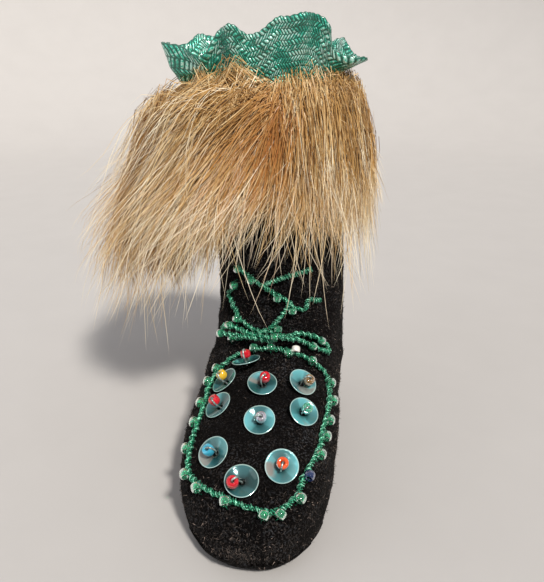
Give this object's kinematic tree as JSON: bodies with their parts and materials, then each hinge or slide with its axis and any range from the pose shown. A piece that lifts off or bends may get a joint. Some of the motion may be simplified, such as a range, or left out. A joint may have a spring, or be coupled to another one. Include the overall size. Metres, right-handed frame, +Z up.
{
  "type": "mukluk boot",
  "caption": "Miniature soft felt boot with a tall shaft, long fur cuff, gathered ribbon ruffle, laced front and beaded, sequinned vamp.",
  "frame": {"origin": "on the sole's flat underside below the middle of the heel and shaft", "axes": "+Z up the shaft, the toe points to -Y, +X is the side that the toe turns to"},
  "size_m": [0.0578, 0.0811, 0.0901],
  "materials": {
    "felt": "black wool felt with a short nap",
    "fur": "long tan fur with pale tips",
    "ribbon": "green metallic woven ribbon",
    "cord": "green twisted cord with pale glass beads",
    "sequin": "thin aqua sequin with a shifting sheen",
    "bead_red": "glossy red seed bead",
    "bead_yellow": "glossy yellow seed bead",
    "bead_brown": "clear brown seed bead",
    "bead_clear": "clear seed bead",
    "bead_green": "clear green seed bead",
    "bead_blue": "glossy aqua seed bead",
    "bead_orange": "glossy orange seed bead"
  },
  "bodies": {
    "root": {"sole": "felt", "upper": "felt", "vamp": "felt", "fur_cuff": "fur", "ruffle": "ribbon", "vamp_cord": "cord", "lace_crossings": "cord", "lace_bow": "cord", "sequin_01": "sequin", "sequin_02": "sequin", "sequin_03": "sequin", "sequin_04": "sequin", "sequin_05": "sequin", "sequin_06": "sequin", "sequin_07": "sequin", "sequin_08": "sequin", "sequin_09": "sequin", "sequin_10": "sequin", "sequin_bead_01": "bead_red", "sequin_bead_02": "bead_yellow", "sequin_bead_03": "bead_red", "sequin_bead_04": "bead_brown", "sequin_bead_05": "bead_red", "sequin_bead_06": "bead_clear", "sequin_bead_07": "bead_green", "sequin_bead_08": "bead_blue", "sequin_bead_09": "bead_orange", "sequin_bead_10": "bead_red"}
  },
  "joints": []
}
